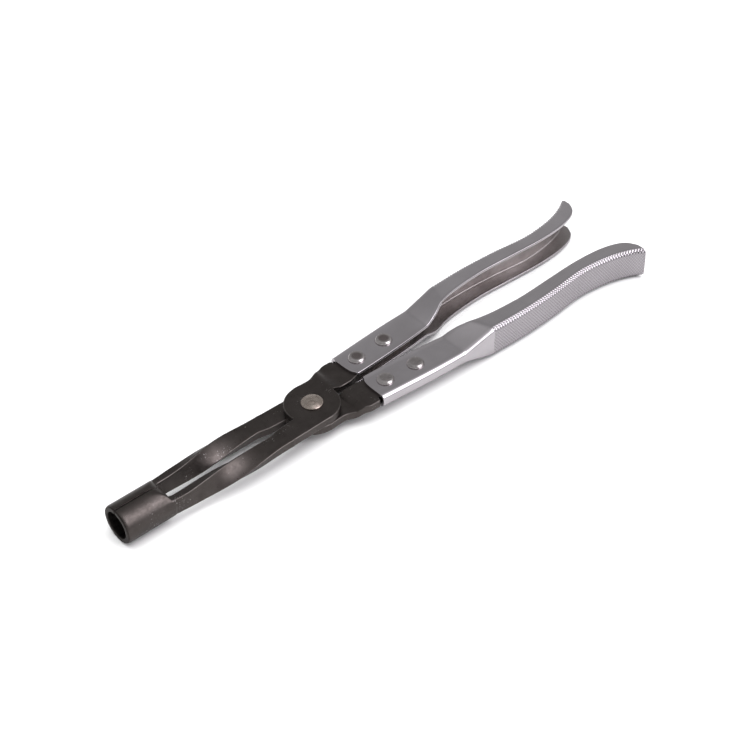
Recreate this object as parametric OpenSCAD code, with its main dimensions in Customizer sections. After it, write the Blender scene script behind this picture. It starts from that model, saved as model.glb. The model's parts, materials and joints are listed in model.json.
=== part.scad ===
// Valve stem seal pliers: two crossed steel jaws that close into a split round
// socket, each riveted into a pressed, knurled channel handle.
//
// The tool lies flat. +X runs from the socket to the handles, +Y across, +Z up.
// The outlines are drawn from the pivot, with Z = 0 where the two plates meet,
// and place() moves them to the frame, whose origin is under the tool's middle.

/* [Overall] */
// Distance from the pivot to the mouth of the socket
jaw_reach = 101.2; // [98:0.1:108]
// Distance from the pivot to the ends of the handles
handle_reach = 180.2; // [174:0.1:188]

/* [Jaw plate] */
// Thickness of the jaw plate
plate_t = 3.8; // [3.4:0.1:4.2]
// Radius of the round boss about the pivot
boss_r = 12.4; // [11:0.1:13]
// Clearance from each tang's inner edge to the tool's middle line
tang_inset = 1.1; // [0.6:0.1:1.6]
// Distance from the pivot at which the plate starts to step to mid-height
joggle_start = 13.2; // [13:0.1:14]
// Distance from the pivot at which the plate has reached mid-height
joggle_end = 16.6; // [16:0.1:18]
// Distance from the pivot to the end of the tang, inside the handle
tang_reach = 62; // [58:0.5:66]

/* [Jaw arm] */
// Width of the arm
arm_w = 8.4; // [7.8:0.1:9]
// Distance from the pivot at which the twist starts
twist_start = 23; // [21:0.5:25]
// Distance from the pivot at which the twist is complete
twist_end = 75; // [72:0.5:77]
// Distance from the pivot at which the arm starts to move to mid-height
sweep_start = 21; // [20:0.5:22]
// Distance from the pivot at which the arm is at mid-height, in line with the socket
sweep_end = 68; // [64:0.5:70]
// Distance from the pivot to the arm's end, inside the socket's wall
arm_reach = 84; // [82:0.5:86]

/* [Socket] */
// Outer radius of the socket
socket_r = 8.7; // [8.4:0.05:9]
// Radius of the socket's bore
bore_r = 6.2; // [5.8:0.05:6.4]
// Depth of the bore from the mouth
bore_depth = 23; // [22:0.1:24]
// Length of the socket's full round
full_round = 15.5; // [14:0.1:17]
// Height of the rounding on the mouth's outer edge
lip_round = 0.6; // [0.3:0.05:0.9]

/* [Handle] */
// Thickness of the handle's sheet
sheet_t = 1.4; // [1.2:0.05:1.5]
// Height of the channel over the grip
grip_h = 15.8; // [15:0.1:16.4]
// Distance from the pivot to the first bend, where the channel starts to widen
flare_start = 71; // [69:0.5:73]
// Distance from the pivot to the second bend, where the channel is at full height
flare_end = 86; // [84:0.5:88]

/* [Rivets] */
// Radius of the pivot rivet's shank
pivot_r = 3; // [2.6:0.1:3.4]
// Radius of the pivot rivet's heads
pivot_head_r = 4.9; // [4.5:0.1:5.2]
// Height of the pivot rivet's heads
pivot_head_h = 1.7; // [1.3:0.1:2]
// Radius of the handle rivets' shanks
rivet_r = 2.2; // [1.9:0.1:2.5]
// Radius of the handle rivets' heads
rivet_head_r = 4; // [3.6:0.1:4.3]
// Height of the handle rivets' heads
rivet_head_h = 1.3; // [1.1:0.1:1.8]
// Distance from the pivot to the front rivet of a handle
front_rivet_x = 33.2; // [32:0.1:35]
// Distance from the pivot to the rear rivet of a handle
rear_rivet_x = 49.8; // [48:0.1:52]

/* [Fits] */
// Gap between the two halves of the closed socket
seam_gap = 0.3; // [0.2:0.05:0.5]
// Gap between the two plates at the pivot
plate_gap = 0.08; // [0.04:0.02:0.16]
// Radial clearance of the pivot rivet in the plates
pivot_clearance = 0.05; // [0.02:0.01:0.1]
// Radial clearance of the handle rivets in the flanges and tang
rivet_clearance = 0.02; // [0.01:0.01:0.05]

/* [Hidden] */
$fn = 96;
black_steel = [0.2, 0.19, 0.18];
chrome_plate = [0.72, 0.72, 0.74];
rivet_steel = [0.55, 0.52, 0.48];
mid_x = (handle_reach - jaw_reach) / 2;
front_h = plate_t + 2 * sheet_t;
far = 40;
mouth_x = -jaw_reach;
bore_end_x = mouth_x + bore_depth;
arm_top = arm_w / 2;
// Distance from the middle line to the middle of the arm where it leaves the plate
root_y = 8.5;
// How far the arm then closes towards the middle line, and where that starts
closing = 1.9;
closing_start = 34;
// Height of the bow across the arm's outer face at the socket, and how far that face drops
bow_h = 1.1;
bow_drop = 0.8;
// Length over which the socket's round sweeps in to the arm
sweep_l = 7;
// Y of the web's outer face at the front of the handle
web_front_y = 17.7;

// Outer line of the channel's web: [fraction of handle_reach, Y]
web_stations = [[0.14, web_front_y], [0.3, 19.9], [0.42, 20.7], [0.52, 21.5], [0.6, 21.8], [0.7, 21],
                [0.8, 19.3], [0.865, 19.9], [0.92, 21.7], [0.965, 24.5], [1, 28]];
// Inner edge of the channel's flanges: [fraction of handle_reach, Y]
lip_stations = [[0.163, 1.6], [0.3, 3.1], [0.392, 4.9], [0.43, 6.6], [0.47, 9.6], [0.53, 11.6],
                [0.62, 12.6], [0.72, 11.9], [0.82, 11.2], [0.9, 12], [0.952, 14.2],
                [0.98, 17], [0.993, 20.4], [1, 23.4]];
// Front inner corner of the flanges, rounded
front_corner = [[0.1405, 9], [0.1412, 6.2], [0.1445, 4], [0.151, 2.5], [0.163, 1.6]];

// Curve through the points p, with n steps from each to the next
function arc_step(a, b, c, d, t) =
    0.5 * (2 * b + (c - a) * t + (2 * a - 5 * b + 4 * c - d) * t * t
           + (3 * b - a - 3 * c + d) * t * t * t);
function curve(p, n = 5) = [
    for (i = [0 : len(p) - 2])
        for (j = [0 : n - 1])
            arc_step(p[max(i - 1, 0)], p[i], p[i + 1], p[min(i + 2, len(p) - 1)], j / n),
    p[len(p) - 1]
];
function along_handle(stations) = [for (s = stations) [s[0] * handle_reach, s[1]]];
function turned_back(p) = [for (i = [len(p) - 1 : -1 : 0]) p[i]];
function side_of(p, i) =
    let (d = p[min(i + 1, len(p) - 1)] - p[max(i - 1, 0)])
    [d[1], -d[0]] / norm(d);
function inset(p, gap) = [for (i = [0 : len(p) - 1]) p[i] + gap * side_of(p, i)];

web_curve = curve(along_handle(web_stations));
lip_curve = curve(along_handle(lip_stations));
corner_curve = curve(along_handle(front_corner), 4);

// Y of the middle of a flange at a rivet
front_rivet_y = 9.6;
flange_slope = 0.06;
function flange_mid(x) = front_rivet_y + (x - front_rivet_x) * flange_slope;

// Smooth step from 0 to 1 as x goes from a to b
function ease(x, a, b) =
    let (t = min(max((x - a) / (b - a), 0), 1))
    t * t * (3 - 2 * t);

// The arm's cross section at u, the distance from the pivot towards the socket
function twist_at(u) = 90 * ease(u, twist_start, twist_end);
function arm_z(u) = plate_t / 2 * (1 - ease(u, sweep_start, sweep_end));
function arm_y(u) =
    -root_y + 0.1 * ease(u, sweep_start, closing_start + 6)
    + closing * ease(u, closing_start, sweep_end);
function outer_bow(u, across) =
    ease(u, sweep_end, arm_reach - 2) * (bow_h * (1 - across * across) - bow_drop);
function arm_point(u, across, through) =
    let (a = twist_at(u),
         w = across * arm_w / 2,
         n = through * plate_t / 2 + (through > 0 ? outer_bow(u, across) : 0))
    [-u, arm_y(u) + w * cos(a) - n * sin(a), arm_z(u) + w * sin(a) + n * cos(a)];
function arm_ring(u) = concat(
    [for (k = [-3 : 3]) arm_point(u, k / 3, 1)],
    [for (k = [3 : -1 : -3]) arm_point(u, k / 3, -1)]
);

module place() {
    translate([-mid_x, 0, socket_r]) children();
}

// The lower half of the tool is the upper half turned over about the X axis
module turned_over() {
    rotate([180, 0, 0]) children();
}

// A flat outline, extruded through the tool's height
module through_height() {
    translate([0, 0, -far]) linear_extrude(2 * far) children();
}

// A side profile drawn in X and Z, extruded across the tool's width
module across_width() {
    rotate([90, 0, 0]) translate([0, 0, -far]) linear_extrude(2 * far) children();
}

// A round solid whose axis is the tool's X axis
module about_x() {
    rotate([0, 90, 0]) children();
}

// Plan of the flat part of the jaw: boss, tang and root of the arm
module plate_outline() {
    circle(boss_r);
    polygon(concat(
        curve([[-2, boss_r - 0.3], [8.5, boss_r - 0.2], [14, 14.4], [19, 16.8], [22.6, 17]], 4),
        [[24, 16.2], [24.6, 15], [tang_reach, 17], [tang_reach, 5.6], [30, 2.8],
         [26, tang_inset + 0.6], [23, tang_inset], [11, tang_inset], [0, 0]]
    ));
    polygon([[2, -boss_r + 0.1], [2, 0], [-12.1, -2.6], [-19.6, -2.9], [-21.6, -3.4],
             [-22.8, -4.3], [-24, -4.5], [-24, -12.8], [-18, -12.5]]);
}

// Side view of the plate: flat at the pivot, then a step down to mid-height
module plate_profile() {
    polygon([[-24, plate_gap / 2], [joggle_start, plate_gap / 2], [joggle_end, -plate_t / 2],
             [far + tang_reach, -plate_t / 2], [far + tang_reach, plate_t / 2],
             [joggle_end, plate_t / 2], [joggle_start, plate_t], [-24, plate_t]]);
}

module plate() {
    intersection() {
        through_height() plate_outline();
        across_width() plate_profile();
    }
}

// The arm: a strip that twists a quarter turn on its way to the socket
module arm() {
    first = sweep_start - 1;
    rings = 40;
    n = 14;
    points = [for (i = [0 : rings]) each arm_ring(first + (arm_reach - first) * i / rings)];
    walls = [
        for (i = [0 : rings - 1])
            for (k = [0 : n - 1])
                each [[i * n + k, (i + 1) * n + k, i * n + (k + 1) % n],
                      [i * n + (k + 1) % n, (i + 1) * n + k, (i + 1) * n + (k + 1) % n]]
    ];
    ends = [
        for (k = [0 : n / 2 - 2])
            each [[k, k + 1, n - 2 - k, n - 1 - k],
                  [for (j = [n - 1 - k, n - 2 - k, k + 1, k]) rings * n + j]]
    ];
    polyhedron(points = points, faces = concat(walls, ends), convexity = 6);
}

// Half of the socket's round, before the bore: its edges sweep in to the arm
module socket_half() {
    round_end = mouth_x + full_round;
    drop = socket_r - arm_top + 0.1;
    intersection() {
        translate([mouth_x, 0, 0]) about_x() rotate_extrude()
            polygon([[0, 0], [socket_r - lip_round, 0], [socket_r - lip_round / 3, lip_round / 2],
                     [socket_r, 2 * lip_round], [socket_r, bore_depth], [0, bore_depth]]);
        translate([mouth_x - 1, -far - seam_gap / 2, -far]) cube([far, far, 2 * far]);
        across_width() polygon(concat(
            [[mouth_x - 1, -far], [round_end, -far], [round_end, -socket_r]],
            [for (a = [0 : 15 : 90])
                [round_end + sweep_l * sin(a), -socket_r + drop * (1 - cos(a))]],
            [[bore_end_x + 4, -arm_top + 0.1], [bore_end_x + 4, arm_top - 0.1]],
            [for (a = [90 : -15 : 0])
                [round_end + sweep_l * sin(a), socket_r - drop * (1 - cos(a))]],
            [[round_end, socket_r], [round_end, far], [mouth_x - 1, far]]
        ));
    }
}

module upright_hole(x, y, r) {
    translate([x, y, -far]) cylinder(r = r, h = 2 * far);
}

module rivet_holes() {
    for (x = [front_rivet_x, rear_rivet_x])
        upright_hole(x, flange_mid(x), rivet_r + rivet_clearance);
}

module jaw() {
    difference() {
        union() {
            plate();
            arm();
            socket_half();
        }
        translate([mouth_x - 1, 0, 0]) about_x() cylinder(r = bore_r, h = bore_depth + 1);
        upright_hole(0, 0, pivot_r + pivot_clearance);
        rivet_holes();
    }
}

// Side view of the channel, h high at the front and grip_h over the grip, less gap all round
module channel_profile(gap) {
    low = front_h / 2 - gap;
    high = grip_h / 2 - gap;
    past_end = handle_reach + far;
    polygon([[0, -low], [flare_start, -low], [flare_end, -high], [past_end, -high],
             [past_end, high], [flare_end, high], [flare_start, low], [0, low]]);
}

// A channel handle, open towards the tool's middle line
module handle() {
    difference() {
        intersection() {
            through_height() polygon(concat(web_curve, turned_back(lip_curve),
                                            turned_back(corner_curve)));
            across_width() channel_profile(0);
        }
        intersection() {
            through_height() polygon(concat(
                [[0, web_front_y - sheet_t]], inset(web_curve, sheet_t),
                [[handle_reach + far, far], [handle_reach + far, -far], [0, -far]]
            ));
            across_width() channel_profile(sheet_t);
        }
        rivet_holes();
    }
}

// Outline of half a rivet: shank, then a head with a sloping side and a low crown
function rivet_outline(shank_r, head_r, head_h, half) =
    let (rim_h = 0.15 * head_h, crown = 0.12 * head_h, top_r = 0.76 * head_r)
    concat([[0, 0], [shank_r, 0], [shank_r, half], [head_r, half], [head_r, half + rim_h]],
           [for (t = [1 : -0.125 : 0]) [top_r * t, half + head_h - crown * t * t]]);

// A rivet with a head at each end, each head's seat half from the middle
module rivet(shank_r, head_r, head_h, half) {
    for (turn = [0, 180])
        rotate([turn, 0, 0]) rotate_extrude()
            polygon(rivet_outline(shank_r, head_r, head_h, half));
}

module handle_rivet(x) {
    translate([x, flange_mid(x), 0]) rivet(rivet_r, rivet_head_r, rivet_head_h, front_h / 2);
}

module upper_jaw() {
    color(black_steel) place() jaw();
}

module lower_jaw() {
    color(black_steel) place() turned_over() jaw();
}

module upper_handle() {
    color(chrome_plate) place() handle();
}

module lower_handle() {
    color(chrome_plate) place() turned_over() handle();
}

module pivot_rivet() {
    color(rivet_steel) place()
        rivet(pivot_r, pivot_head_r, pivot_head_h, plate_t + plate_gap / 2);
}

module upper_handle_front_rivet() {
    color(rivet_steel) place() handle_rivet(front_rivet_x);
}

module upper_handle_rear_rivet() {
    color(rivet_steel) place() handle_rivet(rear_rivet_x);
}

module lower_handle_front_rivet() {
    color(rivet_steel) place() turned_over() handle_rivet(front_rivet_x);
}

module lower_handle_rear_rivet() {
    color(rivet_steel) place() turned_over() handle_rivet(rear_rivet_x);
}

upper_jaw();
lower_jaw();
upper_handle();
lower_handle();
pivot_rivet();
upper_handle_front_rivet();
upper_handle_rear_rivet();
lower_handle_front_rivet();
lower_handle_rear_rivet();
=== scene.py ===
"""Looks of the valve stem seal pliers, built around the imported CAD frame.

Lengths are millimetres from the pivot until mesh_piece() turns them into metres in the row frame:
+X runs from the pivot to the handles, and Z is 0 where the two jaw plates meet.
The lower half of the tool is the upper half turned over about the X axis.
"""
import json
import math

import bpy
import numpy as np
from mathutils import Matrix, Vector, noise

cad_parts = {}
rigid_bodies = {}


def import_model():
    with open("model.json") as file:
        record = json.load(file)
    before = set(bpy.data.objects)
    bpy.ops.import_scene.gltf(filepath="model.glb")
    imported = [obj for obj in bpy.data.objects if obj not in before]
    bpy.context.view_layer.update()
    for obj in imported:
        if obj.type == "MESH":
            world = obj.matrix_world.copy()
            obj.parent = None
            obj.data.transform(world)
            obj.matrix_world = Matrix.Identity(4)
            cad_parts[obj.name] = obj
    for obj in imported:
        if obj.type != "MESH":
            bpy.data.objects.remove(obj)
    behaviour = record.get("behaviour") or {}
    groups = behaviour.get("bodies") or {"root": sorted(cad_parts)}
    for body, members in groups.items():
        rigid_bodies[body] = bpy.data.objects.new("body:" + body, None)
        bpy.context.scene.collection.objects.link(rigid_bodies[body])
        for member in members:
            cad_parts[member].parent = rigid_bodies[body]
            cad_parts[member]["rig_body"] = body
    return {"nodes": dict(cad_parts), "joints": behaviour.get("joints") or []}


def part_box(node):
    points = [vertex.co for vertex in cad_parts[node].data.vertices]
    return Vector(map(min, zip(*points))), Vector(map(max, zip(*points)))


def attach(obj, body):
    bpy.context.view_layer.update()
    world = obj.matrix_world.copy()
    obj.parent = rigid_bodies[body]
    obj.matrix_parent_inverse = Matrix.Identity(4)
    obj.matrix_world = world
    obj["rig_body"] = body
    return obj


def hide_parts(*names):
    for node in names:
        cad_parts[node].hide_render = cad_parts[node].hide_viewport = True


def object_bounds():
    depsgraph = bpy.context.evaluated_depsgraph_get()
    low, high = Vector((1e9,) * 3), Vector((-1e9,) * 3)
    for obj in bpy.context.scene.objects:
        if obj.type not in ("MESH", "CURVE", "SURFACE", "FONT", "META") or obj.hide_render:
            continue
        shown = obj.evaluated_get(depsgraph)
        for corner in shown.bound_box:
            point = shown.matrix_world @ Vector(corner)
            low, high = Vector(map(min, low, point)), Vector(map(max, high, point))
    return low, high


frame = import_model()
cad_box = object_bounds()

# Places and sizes that the frame gives
MM = 0.001
PIVOT = Vector(frame["joints"][0]["pos_m"])
JAW_REACH = (PIVOT.x - cad_box[0].x) / MM
HANDLE_REACH = (cad_box[1].x - PIVOT.x) / MM
SOCKET_R = (PIVOT.z - cad_box[0].z) / MM
FRONT_X = (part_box("upper_handle")[0].x - PIVOT.x) / MM

# Jaw stamping
PLATE_T = 3.8
PLATE_GAP = 0.08
BOSS_R = 12.4
BORE_R = 6.2
TANG_INSET = 1.1
TANG_REACH = 62
JOGGLE_START = 13.2
JOGGLE_END = 16.6
TANG_OUTER_Y = 17
ARM_HALF_W = 4.25
ARM_START = 20
ARM_END = 84
TWIST_START = 23
TWIST_END = 75
BEND_START = 21
BEND_END = 68
BORE_DEPTH = 23
FULL_ROUND = 15.5
SWEEP_LENGTH = 7
SEAM_GAP = 0.3
EDGE_ROUND = 0.45
JAW_STEP = 0.27

# Handle channel. WEB_CROWN is how far the web's edges lean, times half its flat height
SHEET_T = 1.4
BEND_R = 2.3
FRONT_HALF = 3.3
GRIP_HALF = 7.9
FLARE_START = 71
FLARE_END = 86
WEB_CROWN = 0.19
LIP_EDGE = 0.3
CORNER_REACH = 3
END_REACH = 7
KNURL_START = 87
KNURL_PITCH = 1.44
KNURL_DEPTH = 0.3

# Rivets
PIVOT_SHANK_R = 3
PIVOT_HEAD_R = 4.9
PIVOT_HEAD_H = 1.7
SMALL_SHANK_R = 2.2
SMALL_HEAD_R = 4
SMALL_HEAD_H = 1.15

# Studio: where the key light is, how narrow it is along X, and its strength
KEY_DIRECTION = (0.3, -0.7, 0.65)
KEY_SHAPE = (2, 1, 1)
KEY_STRENGTH = 4.4

# Outer line of the web: (share of the handle's reach, Y)
WEB_STATIONS = [(0.14, 17.7), (0.3, 19.9), (0.42, 20.7), (0.52, 21.5), (0.6, 21.8), (0.7, 21),
                (0.8, 19.3), (0.865, 19.9), (0.92, 21.7), (0.965, 24.5), (1, 28)]
# Inner edge of the flanges from the rounded front corner to the end: (share of the reach, Y)
LIP_STATIONS = [(0.14, 9), (0.1412, 6.2), (0.1445, 4), (0.151, 2.5), (0.163, 1.6), (0.3, 3.1), (0.392, 4.9),
                (0.43, 6.6), (0.47, 9.6), (0.53, 11.6), (0.62, 12.6), (0.72, 11.9), (0.82, 11.2),
                (0.9, 12), (0.952, 14.2), (0.98, 17), (0.993, 20.4), (1, 23.4)]


# ---------------------------------------------------------------- shape helpers
def ease(x, a, b):
    """Smooth step from 0 to 1 as x goes from a to b."""
    t = np.clip((x - a) / (b - a), 0, 1)
    return t * t * (3 - 2 * t)


def curve_through(points, steps=10):
    """Points along a smooth curve through the given points."""
    p = np.array(points, float)
    padded = np.vstack([p[:1], p, p[-1:]])
    t = np.arange(steps)[:, None] / steps
    spans = []
    for a, b, c, d in zip(padded, padded[1:], padded[2:], padded[3:]):
        bend = (2 * a - 5 * b + 4 * c - d) * t**2 + (3 * b - a - 3 * c + d) * t**3
        spans.append(0.5 * (2 * b + (c - a) * t + bend))
    return np.vstack(spans + [p[-1:]])


def filleted(corners, steps=7):
    """Closed outline through (x, y, radius) corners, each rounded to its radius."""
    corners = np.array(corners, float)
    outline = []
    for before, here, after in zip(np.roll(corners, 1, 0), corners, np.roll(corners, -1, 0)):
        corner, radius = here[:2], here[2]
        if radius == 0:
            outline.append(corner)
            continue
        back = (before[:2] - corner) / np.linalg.norm(before[:2] - corner)
        on = (after[:2] - corner) / np.linalg.norm(after[:2] - corner)
        half = math.acos(np.clip(back @ on, -1, 1)) / 2
        centre = corner + (back + on) / np.linalg.norm(back + on) * radius / math.sin(half)
        first = corner + back * radius / math.tan(half) - centre
        last = corner + on * radius / math.tan(half) - centre
        turn = math.pi - 2 * half
        for t in np.linspace(0, 1, steps + 1):
            spoke = (math.sin((1 - t) * turn) * first + math.sin(t * turn) * last) / math.sin(turn)
            outline.append(centre + spoke)
    return np.array(outline)


def outline_distance(u, v, outline):
    """Signed distance from the points (u, v) to a closed outline, negative inside."""
    nearest = np.inf
    inside = np.zeros(np.broadcast(u, v).shape, bool)
    for a, b in zip(outline, np.roll(outline, -1, axis=0)):
        edge = b - a
        du = u - a[0]
        dv = v - a[1]
        t = np.clip((du * edge[0] + dv * edge[1]) / (edge @ edge), 0, 1)
        nearest = np.minimum(nearest, (du - edge[0] * t) ** 2 + (dv - edge[1] * t) ** 2)
        if edge[1] != 0:
            inside ^= ((a[1] > v) != (b[1] > v)) & (du < edge[0] * dv / edge[1])
    return np.where(inside, -1, 1) * np.sqrt(nearest)


def rounded_max(a, b, radius):
    """What two solids share, with the edge between their faces rounded."""
    corner = np.hypot(np.maximum(a + radius, 0), np.maximum(b + radius, 0))
    return np.minimum(np.maximum(a, b), -radius) + corner


def blended_min(a, b, reach):
    """Two solids joined, with a fillet where their faces meet."""
    h = np.clip(0.5 + 0.5 * (b - a) / reach, 0, 1)
    return b + (a - b) * h - reach * h * (1 - h)


def surface_net(distance, low, high, step):
    """Points and outward quads of the surface where distance(x, y, z) is 0."""
    x, y, z = (np.arange(a, b, step) for a, b in zip(low, high))
    field = distance(x[:, None, None], y[None, :, None], z[None, None, :])
    inside = field < 0
    hits, quads = [], []
    for axis in range(3):
        near = [slice(None)] * 3
        far = [slice(None)] * 3
        near[axis] = slice(0, -1)
        far[axis] = slice(1, None)
        edges = np.argwhere(inside[tuple(near)] != inside[tuple(far)])
        first = field[tuple(near)][tuple(edges.T)]
        second = field[tuple(far)][tuple(edges.T)]
        point = edges.astype(float)
        point[:, axis] += first / (first - second)
        cells = []
        for du, dv in ((0, 0), (1, 0), (1, 1), (0, 1)):
            cell = edges.copy()
            cell[:, (axis + 1) % 3] -= du
            cell[:, (axis + 2) % 3] -= dv
            cells.append(np.ravel_multi_index(tuple(cell.T), field.shape))
        around = np.stack(cells, 1)
        around[first > 0] = around[first > 0][:, ::-1]
        quads.append(around)
        hits.append(np.repeat(point, 4, axis=0))
    cells, index = np.unique(np.concatenate(quads), return_inverse=True)
    index = index.reshape(-1)
    hits = np.concatenate(hits)
    count = np.bincount(index)
    points = np.stack([np.bincount(index, weights=hits[:, k]) / count for k in range(3)], 1)
    return np.array(low) + points * step, index.reshape(-1, 4)


def settled(points, distance, step):
    """The points of a net moved onto the true surface, by less than half a step."""
    probe = 0.01
    for _ in range(3):
        value = distance(*points.T)
        slope = np.empty_like(points)
        for k in range(3):
            moved = points.copy()
            moved[:, k] += probe
            slope[:, k] = (distance(*moved.T) - value) / probe
        shift = slope * (value / np.maximum((slope**2).sum(1), 0.3))[:, None]
        length = np.linalg.norm(shift, axis=1)[:, None]
        points = points - shift * np.minimum(1, 0.5 * step / np.maximum(length, 1e-9))
    return points


# ---------------------------------------------------------------- jaw
def plate_outline_distance(x, y):
    """Plan of the flat part: round boss, tang and root of the arm."""
    boss = np.hypot(x, y) - BOSS_R
    tang = outline_distance(x, y, filleted([
        (0, 0, 0), (0, BOSS_R, 0), (8.6, BOSS_R - 0.2, 8), (18.9, TANG_OUTER_Y, 6),
        (24.2, TANG_OUTER_Y, 1.4), (24.6, TANG_OUTER_Y - 2, 0.5), (TANG_REACH, TANG_OUTER_Y, 2),
        (TANG_REACH, 5.6, 2), (26.5, 2, 3), (23, TANG_INSET, 6), (11, TANG_INSET, 0)]))
    root = outline_distance(x, y, filleted([
        (2, -BOSS_R + 0.1, 0), (2, 0, 0), (-12.1, -2.6, 4), (-20.8, -3, 0), (-21.2, -3.1, 0),
        (-21.2, -12.75, 0), (-18, -12.65, 0)]))
    return np.minimum(blended_min(boss, tang, 0.8), root)


def plate_side_distance(x, z):
    """Side view of the plate: flat at the pivot, then a step down to mid-height."""
    end = TANG_REACH + 9
    return outline_distance(x, z, filleted([
        (-40, PLATE_GAP / 2, 0), (JOGGLE_START, PLATE_GAP / 2, 1), (JOGGLE_END, -PLATE_T / 2, 0.8),
        (end, -PLATE_T / 2, 0), (end, PLATE_T / 2, 0), (JOGGLE_END, PLATE_T / 2, 7),
        (JOGGLE_START, PLATE_T, 7), (-40, PLATE_T, 0)]))


def arm_distance(x, y, z):
    """The arm: a strip that twists a quarter turn, and bows and thins where it joins the socket."""
    u = -x
    turn = np.pi / 2 * ease(u, TWIST_START, TWIST_END)
    dy = y - (-8.5 + 0.1 * ease(u, BEND_START, 40) + 1.9 * ease(u, 34, BEND_END))
    dz = z - PLATE_T / 2 * (1 - ease(u, BEND_START, BEND_END))
    across = dy * np.cos(turn) + dz * np.sin(turn)
    through = dz * np.cos(turn) - dy * np.sin(turn)
    crotch = 1.3 * (1 - ease(u, 19.5, 27))
    near_socket = ease(u, BEND_END, 82)
    bow = near_socket * (1.1 * (1 - (across / ARM_HALF_W) ** 2) - 0.8) - 0.8 * ease(u, 76, ARM_END)
    wide = np.maximum(across - ARM_HALF_W - crotch, -across - ARM_HALF_W)
    thick = np.maximum(through - PLATE_T / 2 - bow, -through - PLATE_T / 2)
    strip = rounded_max(wide, thick, EDGE_ROUND)
    return np.maximum(strip, np.maximum(ARM_START - u, u - ARM_END))


def socket_distance(x, y, z):
    """Half of the socket's round before the bore, its edges sweeping in to the arm."""
    mouth = -JAW_REACH
    round_end = mouth + FULL_ROUND
    block_end = mouth + BORE_DEPTH + 4
    lip = 0.45 * np.clip((mouth + 1.5 - x) / 1.5, 0, 1) ** 2
    barrel = rounded_max(np.hypot(y, z) - SOCKET_R + lip, mouth - x, 0.35)
    angles = np.radians(np.arange(0, 91, 9))
    drop = SOCKET_R - ARM_HALF_W + 0.1
    sweep = np.stack([
        round_end + SWEEP_LENGTH * np.sin(angles), SOCKET_R - drop * (1 - np.cos(angles))], 1)
    side = np.vstack([
        [(mouth - 9, -9), (mouth - 9, 19), (round_end, 19)],
        sweep,
        [(block_end, ARM_HALF_W - 0.1), (block_end, -9)]])
    swept = outline_distance(x, np.abs(z), side)
    half = rounded_max(barrel, y + SEAM_GAP / 2, 0.3)
    return rounded_max(rounded_max(half, swept, 0.5), x - mouth - BORE_DEPTH, 0.3)


def jaw_distance(x, y, z):
    """The whole upper jaw, negative inside its steel."""
    plate = rounded_max(plate_outline_distance(x, y), plate_side_distance(x, z), EDGE_ROUND)
    front = blended_min(arm_distance(x, y, z), socket_distance(x, y, z), 1.2)
    body = blended_min(plate, front, 0.25)
    bore = rounded_max(np.hypot(y, z) - BORE_R, x + JAW_REACH - BORE_DEPTH, 0.4)
    return rounded_max(body, -bore, 0.3)


def jaw_mesh():
    """Points and quads of the upper jaw."""
    low = (-JAW_REACH - 1, -14, -SOCKET_R - 0.7)
    high = (TANG_REACH + 1, 18.5, SOCKET_R + 0.8)
    points, quads = surface_net(jaw_distance, low, high, JAW_STEP)
    return settled(points, jaw_distance, JAW_STEP), quads


# ---------------------------------------------------------------- handle
def handle_stations():
    """Distances from the pivot at which the channel's section is drawn, close at its ends."""
    first = FRONT_X + LIP_EDGE
    last = HANDLE_REACH - LIP_EDGE - 0.4
    corner = first + CORNER_REACH * (1 - np.cos(np.linspace(0, np.pi / 2, 15)))
    neck = np.linspace(corner[-1], FLARE_START - 2, 34)
    flare = np.arange(FLARE_START - 1.5, KNURL_START, 0.45)
    grip = np.arange(KNURL_START, last - END_REACH, KNURL_PITCH / 6)
    end = last - END_REACH * (1 - np.sin(np.linspace(0, np.pi / 2, 34)))
    return np.concatenate([corner, neck[1:], flare, grip, end])


def half_height(x, y):
    """Height of the flange's outer face above the middle plane: flat, a slope, then flat."""
    second_bend = FLARE_END + 0.4 * (y - 16)
    share = (x - FLARE_START) / (second_bend - FLARE_START)
    crease = 0.05
    rise = (np.hypot(share, crease) - np.hypot(share - 1, crease) + 1) / 2
    return FRONT_HALF + (GRIP_HALF - FRONT_HALF) * rise


def knurl(along, around, reach):
    """Depth of the diamond knurl at a place on the web and its bends."""
    first = along / KNURL_PITCH + around / (1.3 * KNURL_PITCH)
    second = along / KNURL_PITCH - around / (1.3 * KNURL_PITCH)
    ridge = [1 - 2 * np.abs(w - np.floor(w) - 0.5) for w in (first, second)]
    height = np.clip(1.3 * np.minimum(*ridge), 0, 1)
    started = ease(along, KNURL_START + 0.08 * np.abs(around), KNURL_START + 1 + 0.08 * np.abs(around))
    edge = 1 - ease(np.abs(around), reach - 0.9, reach - 0.3)
    return KNURL_DEPTH * (1 - height) * started * edge


def grid_normals(grid):
    """Unit normals of a surface given as a grid of points."""
    along = np.gradient(grid, axis=0)
    across = np.gradient(grid, axis=1)
    normal = np.cross(along, across)
    return normal / np.linalg.norm(normal, axis=2)[..., None]


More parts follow.
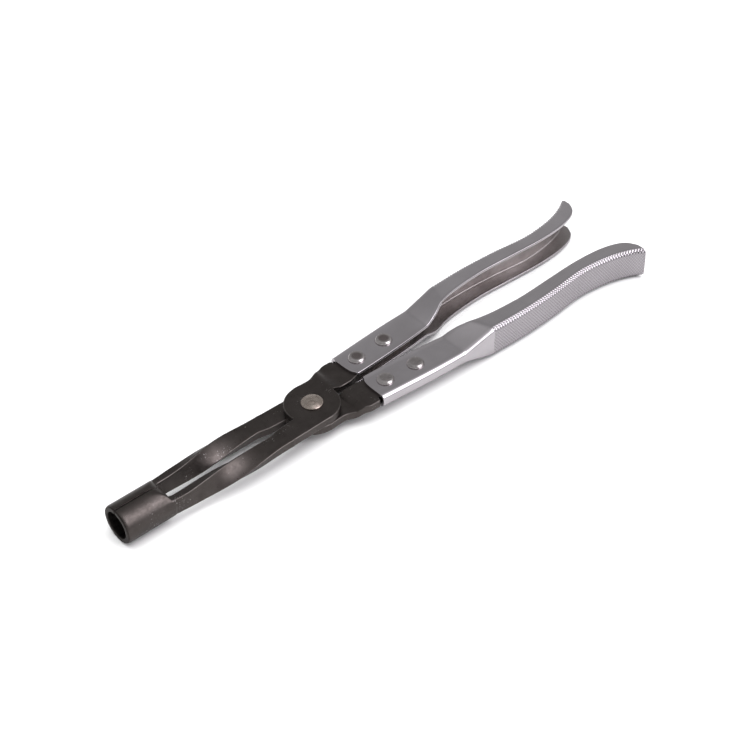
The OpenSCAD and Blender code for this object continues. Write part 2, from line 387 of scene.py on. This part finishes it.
def handle_face():
    """The channel's outer face as a grid, from one flange's inner edge round the web to the other's."""
    x = handle_stations()
    web = curve_through([(a * HANDLE_REACH, b) for a, b in WEB_STATIONS])
    lip = curve_through([(a * HANDLE_REACH, b) for a, b in LIP_STATIONS])
    heading = np.gradient(lip, axis=0)
    heading /= np.linalg.norm(heading, axis=1)[:, None]
    lip += LIP_EDGE * np.stack([-heading[:, 1], heading[:, 0]], 1)
    web_y = np.interp(x, web[:, 0], web[:, 1])
    lip_y = np.interp(x, lip[:, 0], lip[:, 1])
    root_y = web_y - BEND_R
    lip_y = np.minimum(lip_y, root_y - 0.5)
    flat = half_height(x, root_y) - BEND_R
    crown = WEB_CROWN / flat
    web_r = (flat + BEND_R * np.sin(crown)) / np.sin(crown)
    web_centre = root_y + (BEND_R - web_r) * np.cos(crown)
    flange = np.linspace(0, 1, 7)[:-1]
    bend = np.linspace(0, 1, 13)
    rise = np.linspace(0, 1, 44)[1:-1]
    columns = []
    for share in flange:
        y = lip_y + share * (root_y - lip_y)
        columns.append((y, half_height(x, y), 0 * x))
    for share in bend:
        angle = share * (np.pi / 2 - crown)
        reach = flat + BEND_R * (np.pi / 2 - angle)
        columns.append((root_y + BEND_R * np.sin(angle), flat + BEND_R * np.cos(angle), reach))
    for share in rise:
        angle = crown * (1 - 2 * share)
        columns.append((web_centre + web_r * np.cos(angle), web_r * np.sin(angle), web_r * angle))
    mirrored = [(y, -z, -reach) for y, z, reach in columns[len(flange) + len(bend) - 1::-1]]
    columns = columns + mirrored
    grid = np.stack([np.stack([x, y, z], 1) for y, z, _ in columns], 1)
    around = np.stack([reach for _, _, reach in columns], 1)
    around[:, :len(flange)] = 99
    around[:, -len(flange):] = -99
    return grid, around, flat + BEND_R * np.pi / 2


def shell_mesh(outer, inner, normals, thickness, edge):
    """A closed sheet from two grids, its rim rounded, and which of its quads are the inner face."""
    rows, columns = outer.shape[:2]
    number = np.arange(rows * columns).reshape(rows, columns)
    rim = np.concatenate([
        number[:-1, 0], number[-1, :-1], number[:0:-1, -1], number[0, :0:-1]])
    base = outer.reshape(-1, 3)[rim]
    up = normals.reshape(-1, 3)[rim]
    ahead = np.roll(base, -1, 0) - np.roll(base, 1, 0)
    side = np.cross(ahead, up)
    side /= np.linalg.norm(side, axis=1)[:, None]
    points = [outer.reshape(-1, 3), inner.reshape(-1, 3)]
    rings = [rim]
    angles = np.radians([22.5, 45, 67.5, 90])
    profile = [(edge * math.sin(a), edge * (1 - math.cos(a))) for a in angles]
    profile += [(out, thickness - down) for out, down in reversed(profile)]
    total = 2 * rows * columns
    for out, down in profile:
        points.append(base + side * out - up * down)
        rings.append(np.arange(total, total + len(rim)))
        total += len(rim)
    rings.append(rim + rows * columns)
    a = number[:-1, :-1].ravel()
    b = number[1:, :-1].ravel()
    c = number[1:, 1:].ravel()
    d = number[:-1, 1:].ravel()
    quads = [np.stack([a, b, c, d], 1), np.stack([d, c, b, a], 1) + rows * columns]
    for low, high in zip(rings, rings[1:]):
        quads.append(np.stack([low, high, np.roll(high, -1), np.roll(low, -1)], 1))
    inside = np.arange(sum(len(q) for q in quads)) // len(a) == 1
    return np.concatenate(points), np.concatenate(quads), inside


def handle_mesh():
    """Points and quads of the upper handle, which quads are inside it, and the knurl's depth at its outer
    points, which sets its painted shade.
    """
    grid, around, reach = handle_face()
    normals = grid_normals(grid)
    inner = grid - SHEET_T * normals
    web = curve_through([(a * HANDLE_REACH, b) for a, b in WEB_STATIONS])
    travelled = np.concatenate([[0], np.cumsum(np.linalg.norm(np.diff(web, axis=0), axis=1))])
    along = np.interp(grid[:, :1, 0], web[:, 0], web[0, 0] + travelled)
    depth = knurl(along, around, reach[:, None])
    outer = grid - normals * depth[..., None]
    return (*shell_mesh(outer, inner, normals, SHEET_T, LIP_EDGE), depth.ravel() / KNURL_DEPTH)


# ---------------------------------------------------------------- rivets
def lathed(profile, segments=96):
    """Points and faces of a closed solid turned about Z from (radius, z) points, bottom first."""
    turn = np.linspace(0, 2 * np.pi, segments, endpoint=False)
    rings = [np.stack([r * np.cos(turn), r * np.sin(turn), np.full(segments, z)], 1)
             for r, z in profile]
    points = np.concatenate(rings)
    faces = []
    for k in range(len(profile) - 1):
        low = k * segments + np.arange(segments)
        after = k * segments + (np.arange(segments) + 1) % segments
        faces.append(np.stack([low, after, after + segments, low + segments], 1))
    faces = [tuple(f) for f in np.concatenate(faces)]
    faces.append(tuple(range(segments - 1, -1, -1)))
    last = (len(profile) - 1) * segments
    faces.append(tuple(range(last, last + segments)))
    return points, faces


def head_profile(shank_r, head_r, half, height, top_share, crown):
    """(radius, z) points of one head from the shank out, up its sloping side and over its top.

    crown is the top's rise towards its middle as a share of the height, negative for a dished top.
    """
    rim_h = 0.15 * height
    crown_h = crown * height
    top_r = top_share * head_r
    profile = [(shank_r, half), (head_r - 0.12, half), (head_r, half + rim_h)]
    for t in np.linspace(0.15, 0.97, 7):
        out = top_r + (head_r - top_r) * (1 - t**1.7)
        profile.append((out, half + rim_h + (height - crown_h - rim_h) * t))
    for t in (0.99, 0.97, 0.93, *np.linspace(0.86, 0.01, 13)):
        profile.append((top_r * t, half + height - crown_h * t * t))
    return profile


def rivet_mesh(head, dent):
    """A rivet with two heads of one profile, dented a little as hammered heads are."""
    under_head = head[0][1]
    points, faces = lathed([(r, -z) for r, z in reversed(head)] + head)
    for p in points:
        spot = Vector(p) * 0.55
        radius = math.hypot(p[0], p[1])
        if abs(p[2]) > under_head + 0.2:
            p[2] += math.copysign(dent * noise.noise(spot) * min(1, 3 / max(radius, 0.1)), p[2])
    return points, faces


# ---------------------------------------------------------------- materials
def new_material(name):
    """A node material, its nodes, a link maker and its Principled shader."""
    material = bpy.data.materials.new(name)
    material.use_nodes = True
    tree = material.node_tree
    return material, tree.nodes, tree.links.new, tree.nodes["Principled BSDF"]


def noise_node(nodes, link, scale, detail=4, rough=0.55, stretch=(1, 1, 1)):
    """Noise in the piece's own coordinates, its scale in features a metre."""
    place_node = nodes.new("ShaderNodeTexCoord")
    mapping = nodes.new("ShaderNodeMapping")
    mapping.inputs["Scale"].default_value = stretch
    texture = nodes.new("ShaderNodeTexNoise")
    texture.inputs["Scale"].default_value = scale
    texture.inputs["Detail"].default_value = detail
    texture.inputs["Roughness"].default_value = rough
    link(place_node.outputs["Object"], mapping.inputs["Vector"])
    link(mapping.outputs["Vector"], texture.inputs["Vector"])
    return texture.outputs["Fac"]


def ramp(nodes, link, source, stops):
    """A colour ramp from source, with stops of (position, colour or grey)."""
    node = nodes.new("ShaderNodeValToRGB")
    node.color_ramp.elements[0].position = stops[0][0]
    node.color_ramp.elements[1].position = stops[-1][0]
    for position, _ in stops[1:-1]:
        node.color_ramp.elements.new(position)
    for element, (_, colour) in zip(node.color_ramp.elements, stops):
        grey = isinstance(colour, (int, float))
        element.color = (colour, colour, colour, 1) if grey else (*colour, 1)
    link(source, node.inputs["Fac"])
    return node.outputs["Color"]


def span(nodes, link, source, low, high):
    """source, a number from 0.3 to 0.7 for most noise, spread over low to high."""
    node = nodes.new("ShaderNodeMapRange")
    node.inputs["From Min"].default_value = 0.3
    node.inputs["From Max"].default_value = 0.7
    node.inputs["To Min"].default_value = low
    node.inputs["To Max"].default_value = high
    link(source, node.inputs["Value"])
    return node.outputs["Result"]


def bump(nodes, link, height, strength, distance, before=None):
    """A bump of height over distance metres, on top of another bump if given."""
    node = nodes.new("ShaderNodeBump")
    node.inputs["Strength"].default_value = strength
    node.inputs["Distance"].default_value = distance
    link(height, node.inputs["Height"])
    if before is not None:
        link(before, node.inputs["Normal"])
    return node.outputs["Normal"]


def mixed(nodes, link, share, a, b):
    """Colour a turned into b by share. a and b are sockets or colours."""
    node = nodes.new("ShaderNodeMix")
    node.data_type = "RGBA"
    link(share, node.inputs["Factor"])
    for socket, value in zip((node.inputs[6], node.inputs[7]), (a, b)):
        if isinstance(value, tuple):
            socket.default_value = (*value, 1)
        else:
            link(value, socket)
    return node.outputs[2]


def painted_shade_node(nodes):
    """How much painted shade the surface gets, from 0 to 1, as set for each of the piece's points."""
    node = nodes.new("ShaderNodeAttribute")
    node.attribute_name = "painted_shade"
    return node.outputs["Fac"]


def worn_edges(nodes, link, low, high):
    """0 on faces and 1 on sharp outer edges."""
    geometry = nodes.new("ShaderNodeNewGeometry")
    return ramp(nodes, link, geometry.outputs["Pointiness"], [(low, 0), (high, 1)])


def black_steel():
    """Black-oxide steel: warm, satin, finely pitted, rubbed brighter along its edges."""
    material, nodes, link, shader = new_material("black_oxide_steel")
    clouds = noise_node(nodes, link, 130, 5, 0.6)
    body = ramp(nodes, link, clouds, [(0.3, (0.084, 0.073, 0.068)), (0.7, (0.118, 0.104, 0.098))])
    rubbed = ramp(nodes, link, noise_node(nodes, link, 90, 2, 0.5), [(0.52, 0), (0.64, 0.12)])
    grit = nodes.new("ShaderNodeMath")
    grit.operation = "ADD"
    link(noise_node(nodes, link, 1500, 2, 0.6), grit.inputs[0])
    link(rubbed, grit.inputs[1])
    specks = ramp(nodes, link, grit.outputs["Value"], [(0.74, 0), (0.8, 0.7)])
    speckled = mixed(nodes, link, specks, body, (0.45, 0.43, 0.42))
    edges = worn_edges(nodes, link, 0.52, 0.6)
    link(mixed(nodes, link, edges, speckled, (0.3, 0.28, 0.27)), shader.inputs["Base Color"])
    shader.inputs["Metallic"].default_value = 1
    grain = noise_node(nodes, link, 900, 3, 0.6)
    link(span(nodes, link, grain, 0.27, 0.45), shader.inputs["Roughness"])
    pits = noise_node(nodes, link, 2600, 2, 0.5)
    dents = noise_node(nodes, link, 300, 2, 0.5)
    normal = bump(nodes, link, pits, 0.6, 0.00006)
    link(bump(nodes, link, dents, 0.25, 0.00012, normal), shader.inputs["Normal"])
    return material


def socket_painted_shade():
    """Darker, duller steel for the bore, the socket's mouth and the seam along its top: painted shade."""
    material, nodes, link, shader = new_material("socket_painted_shade")
    clouds = noise_node(nodes, link, 500, 3, 0.6)
    link(ramp(nodes, link, clouds, [(0.3, (0.035, 0.03, 0.028)), (0.7, (0.075, 0.065, 0.06))]),
         shader.inputs["Base Color"])
    shader.inputs["Metallic"].default_value = 1
    shader.inputs["Roughness"].default_value = 0.5
    link(bump(nodes, link, clouds, 0.3, 0.0001), shader.inputs["Normal"])
    return material


def inside_plate_painted_reflection():
    """The channel's inside, plated but not polished; its darker, brownish colour is a painted reflection.
    """
    material, nodes, link, shader = new_material("inside_plate_painted_reflection")
    clouds = noise_node(nodes, link, 90, 4, 0.6)
    link(ramp(nodes, link, clouds, [(0.3, (0.33, 0.3, 0.295)), (0.7, (0.48, 0.45, 0.445))]),
         shader.inputs["Base Color"])
    shader.inputs["Metallic"].default_value = 1
    grain = noise_node(nodes, link, 700, 3, 0.6)
    link(span(nodes, link, grain, 0.34, 0.5), shader.inputs["Roughness"])
    link(bump(nodes, link, grain, 0.25, 0.00006), shader.inputs["Normal"])
    return material


def chrome_plate():
    """Bright chrome plate over pressed sheet, with faint ripples and rub marks; the knurl's valleys are
    darkened with painted shade.
    """
    material, nodes, link, shader = new_material("bright_chrome_plate")
    clouds = noise_node(nodes, link, 60, 4, 0.5)
    plate = ramp(nodes, link, clouds, [(0.3, (0.61, 0.575, 0.6)), (0.7, (0.69, 0.655, 0.685))])
    # The knurl's valleys are darkened: painted shade.
    knurl_valley_shade = ramp(nodes, link, painted_shade_node(nodes), [(0.15, 0), (0.9, 1)])
    link(mixed(nodes, link, knurl_valley_shade, plate, (0.39, 0.365, 0.39)), shader.inputs["Base Color"])
    shader.inputs["Metallic"].default_value = 1
    smears = noise_node(nodes, link, 220, 4, 0.6, (1, 3, 3))
    link(span(nodes, link, smears, 0.07, 0.17), shader.inputs["Roughness"])
    ripple = noise_node(nodes, link, 70, 1, 0.4)
    scratches = noise_node(nodes, link, 500, 2, 0.5, (0.2, 4, 4))
    normal = bump(nodes, link, scratches, 0.1, 0.00002)
    link(bump(nodes, link, ripple, 0.15, 0.0002, normal), shader.inputs["Normal"])
    return material


def rivet_steel(name, dark, light, low, high):
    """Hammered rivet steel between two colours, with a roughness from low to high, darkened with painted
    shade where a piece asks for it.
    """
    material, nodes, link, shader = new_material(name)
    clouds = noise_node(nodes, link, 420, 4, 0.6)
    steel = ramp(nodes, link, clouds, [(0.35, dark), (0.65, light)])
    # Darker where the piece's points ask for it: painted shade.
    link(mixed(nodes, link, painted_shade_node(nodes), steel, (0.24, 0.205, 0.2)), shader.inputs["Base Color"])
    shader.inputs["Metallic"].default_value = 1
    grain = noise_node(nodes, link, 1500, 3, 0.6)
    link(span(nodes, link, grain, low, high), shader.inputs["Roughness"])
    pits = noise_node(nodes, link, 1800, 3, 0.6)
    link(bump(nodes, link, pits, 0.16, 0.00008), shader.inputs["Normal"])
    return material


# ---------------------------------------------------------------- pieces
def mesh_piece(name, points, faces, material):
    """A smooth-shaded piece in metres in the row frame."""
    mesh = bpy.data.meshes.new(name)
    places = points * MM + np.array(PIVOT)
    mesh.from_pydata(places.tolist(), [], faces)
    mesh.polygons.foreach_set("use_smooth", [True] * len(mesh.polygons))
    mesh.materials.append(material)
    mesh.update()
    piece = bpy.data.objects.new(name, mesh)
    bpy.context.scene.collection.objects.link(piece)
    return piece


def turned_over(points):
    """Half a turn about the X axis through the pivot."""
    return points * np.array([1, -1, -1])


def add_piece(node, points, faces, material, slot):
    """The detailed piece that stands for a CAD node and rides on that node's body."""
    body = frame["nodes"][node]["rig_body"]
    piece = mesh_piece(node + "_visual", points, faces, material)
    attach(piece, body)
    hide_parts(node)
    return piece


def second_material(piece, material, chosen):
    """Give the chosen faces of a piece another material."""
    piece.data.materials.append(material)
    piece.data.polygons.foreach_set("material_index", np.asarray(chosen, dtype=np.int32))


def set_painted_shade(piece, values):
    """Say how much painted shade a piece gets at each of its points."""
    shade = piece.data.attributes.new("painted_shade", "FLOAT", "POINT")
    shade.data.foreach_set("value", values)


def add_jaws():
    material = black_steel()
    points, quads = jaw_mesh()
    middle = points[quads].mean(axis=1)
    # The bore, the socket's mouth and the seam along its top get a darker material: painted shade.
    bored = np.hypot(middle[:, 1], middle[:, 2]) < BORE_R + 0.12
    at_mouth = middle[:, 0] < 0.45 - JAW_REACH
    along_seam = (middle[:, 1] > -0.5) & (middle[:, 0] < FULL_ROUND + 4 - JAW_REACH)
    shaded = (bored & (middle[:, 0] < BORE_DEPTH - JAW_REACH)) | at_mouth | along_seam
    for node, places in (("upper_jaw", points), ("lower_jaw", turned_over(points))):
        piece = add_piece(node, places, quads.tolist(), material, "black_steel")
        second_material(piece, socket_painted_shade(), shaded)


def add_handles():
    material = chrome_plate()
    points, quads, inside, painted_shade = handle_mesh()
    for node, places in (("upper_handle", points), ("lower_handle", turned_over(points))):
        piece = add_piece(node, places, quads.tolist(), material, "chrome_plate")
        # The channel's inside gets a darker, brownish plate: a painted reflection.
        second_material(piece, inside_plate_painted_reflection(), inside)
        # Painted shade in the knurl's valleys; the inside and rim points get none.
        set_painted_shade(piece, np.concatenate([painted_shade, np.zeros(len(points) - len(painted_shade))]))


def add_rivets():
    bare = rivet_steel("bare_rivet_steel", (0.42, 0.355, 0.315), (0.62, 0.54, 0.48), 0.18, 0.32)
    plated = rivet_steel("plated_rivet_steel", (0.5, 0.47, 0.47), (0.66, 0.62, 0.62), 0.16, 0.28)
    head = head_profile(
        PIVOT_SHANK_R, PIVOT_HEAD_R, PLATE_T + PLATE_GAP / 2, PIVOT_HEAD_H, 0.5, 0.2)
    add_piece("pivot_rivet", *rivet_mesh(head, 0.26), bare, "rivet_steel")
    head = head_profile(SMALL_SHANK_R, SMALL_HEAD_R, FRONT_HALF, SMALL_HEAD_H, 0.78, -0.13)
    points, faces = rivet_mesh(head, 0.06)
    # Painted shade darkens each small rivet's top towards its middle, more on the upper handle than on the
    # lower.
    for half, shade_strength in (("upper", 0.9), ("lower", 0.4)):
        for place_name in ("front", "rear"):
            node = f"{half}_handle_{place_name}_rivet"
            low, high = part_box(node)
            centre = (np.array(low + high) / 2 - np.array(PIVOT)) / MM
            piece = add_piece(node, points + centre, faces, plated, "plated_rivet")
            set_painted_shade(piece, shade_strength * (1 - ease(np.hypot(points[:, 0], points[:, 1]), 1.7, 3.1)))


# ---------------------------------------------------------------- stage
def add_camera():
    """The photograph's view: from above the near side, rolled a little."""
    azimuth = math.radians(-39.78)
    elevation = math.radians(41.83)
    roll = math.radians(-1.74)
    distance, aside, above = 708.95, 26.785, 14.574
    back = Vector((math.sin(azimuth) * math.cos(elevation),
                   -math.cos(azimuth) * math.cos(elevation), math.sin(elevation)))
    level = Vector((0, 0, 1)).cross(back).normalized()
    upright = back.cross(level)
    right = math.cos(roll) * level + math.sin(roll) * upright
    up = math.cos(roll) * upright - math.sin(roll) * level
    data = bpy.data.cameras.new("camera")
    data.lens = 79.45
    data.sensor_width = 36
    data.clip_start = 0.01
    camera = bpy.data.objects.new("camera", data)
    bpy.context.scene.collection.objects.link(camera)
    matrix = Matrix((right, up, back)).transposed().to_4x4()
    matrix.translation = PIVOT + (back * distance + right * aside + up * above) * MM
    camera.matrix_world = matrix
    bpy.context.scene.camera = camera


def add_floor():
    """A pale floor, which the metal mirrors a little darker than the camera sees it."""
    mesh = bpy.data.meshes.new("floor")
    size = 40
    corners = [(-size, -size, 0), (size, -size, 0), (size, size, 0), (-size, size, 0)]
    mesh.from_pydata(corners, [], [(0, 1, 2, 3)])
    material, nodes, link, shader = new_material("floor_white")
    shader.inputs["Base Color"].default_value = (0.86, 0.86, 0.86, 1)
    shader.inputs["Roughness"].default_value = 0.9
    shader.inputs["Specular IOR Level"].default_value = 0
    dim = nodes.new("ShaderNodeBsdfDiffuse")
    dim.inputs["Color"].default_value = (0.48, 0.48, 0.48, 1)
    reflected = nodes.new("ShaderNodeLightPath").outputs["Is Glossy Ray"]
    choose = nodes.new("ShaderNodeMixShader")
    link(reflected, choose.inputs["Fac"])
    link(shader.outputs[0], choose.inputs[1])
    link(dim.outputs[0], choose.inputs[2])
    link(choose.outputs[0], nodes["Material Output"].inputs["Surface"])
    mesh.materials.append(material)
    floor = bpy.data.objects.new("floor", mesh)
    bpy.context.scene.collection.objects.link(floor)


def add_world():
    """A grey surround, darker on the near horizon, with one soft key light and a white backdrop."""
    world = bpy.data.worlds.new("studio")
    bpy.context.scene.world = world
    world.use_nodes = True
    nodes = world.node_tree.nodes
    link = world.node_tree.links.new
    towards = nodes.new("ShaderNodeTexCoord").outputs["Generated"]
    split = nodes.new("ShaderNodeSeparateXYZ")
    link(towards, split.inputs["Vector"])
    near = ramp(nodes, link, split.outputs["Z"], [
        (0, 0.06), (0.2, 0.1), (0.3, 0.6), (0.45, 0.5), (0.6, 0.38), (0.72, 0.28), (0.83, 0.36),
        (1, 0.5)])
    far = ramp(nodes, link, split.outputs["Z"], [
        (0, 0.42), (0.3, 0.33), (0.48, 0.34), (0.6, 0.36), (0.67, 0.29), (0.74, 0.3),
        (0.83, 0.34), (1, 0.5)])
    side = nodes.new("ShaderNodeMapRange")
    side.inputs["From Min"].default_value = -0.3
    side.inputs["From Max"].default_value = 0.1
    link(split.outputs["Y"], side.inputs["Value"])
    surround = nodes["Background"]
    link(mixed(nodes, link, side.outputs["Result"], near, far), surround.inputs["Color"])
    narrowed = nodes.new("ShaderNodeVectorMath")
    narrowed.operation = "MULTIPLY"
    narrowed.inputs[1].default_value = KEY_SHAPE
    link(towards, narrowed.inputs[0])
    unit = nodes.new("ShaderNodeVectorMath")
    unit.operation = "NORMALIZE"
    link(narrowed.outputs["Vector"], unit.inputs[0])
    nearness = nodes.new("ShaderNodeVectorMath")
    nearness.operation = "DOT_PRODUCT"
    nearness.inputs[1].default_value = Vector(
        [a * b for a, b in zip(KEY_DIRECTION, KEY_SHAPE)]).normalized()
    link(unit.outputs["Vector"], nearness.inputs[0])
    glow = ramp(nodes, link, nearness.outputs["Value"], [
        (math.cos(math.radians(angle)), (0.98 * level, 0.95 * level, level)) for angle, level in
        ((48, 0), (40, 0.035), (32, 0.09), (28.7, 0.14), (25, 0.26), (20, 0.48), (15, 0.68), (8, 0.95),
         (0, 1))])
    key = nodes.new("ShaderNodeBackground")
    key.inputs["Strength"].default_value = KEY_STRENGTH
    link(glow, key.inputs["Color"])
    both = nodes.new("ShaderNodeAddShader")
    link(surround.outputs[0], both.inputs[0])
    link(key.outputs[0], both.inputs[1])
    backdrop = nodes.new("ShaderNodeBackground")
    backdrop.inputs["Color"].default_value = (1, 1, 1, 1)
    seen = nodes.new("ShaderNodeLightPath").outputs["Is Camera Ray"]
    chosen = nodes.new("ShaderNodeMixShader")
    link(seen, chosen.inputs["Fac"])
    link(both.outputs[0], chosen.inputs[1])
    link(backdrop.outputs[0], chosen.inputs[2])
    link(chosen.outputs[0], nodes["World Output"].inputs["Surface"])


def add_lights():
    """A broad overhead light for the floor, which the metal does not mirror."""
    data = bpy.data.lights.new("overhead", "SUN")
    data.energy = 3.5
    data.angle = 1.18
    light = bpy.data.objects.new("overhead", data)
    bpy.context.scene.collection.objects.link(light)
    light.visible_glossy = False


scene = bpy.context.scene
scene.view_settings.view_transform = "Standard"
add_camera()
add_floor()
add_world()
add_lights()
add_jaws()
add_handles()
add_rivets()

bpy.context.view_layer.update()
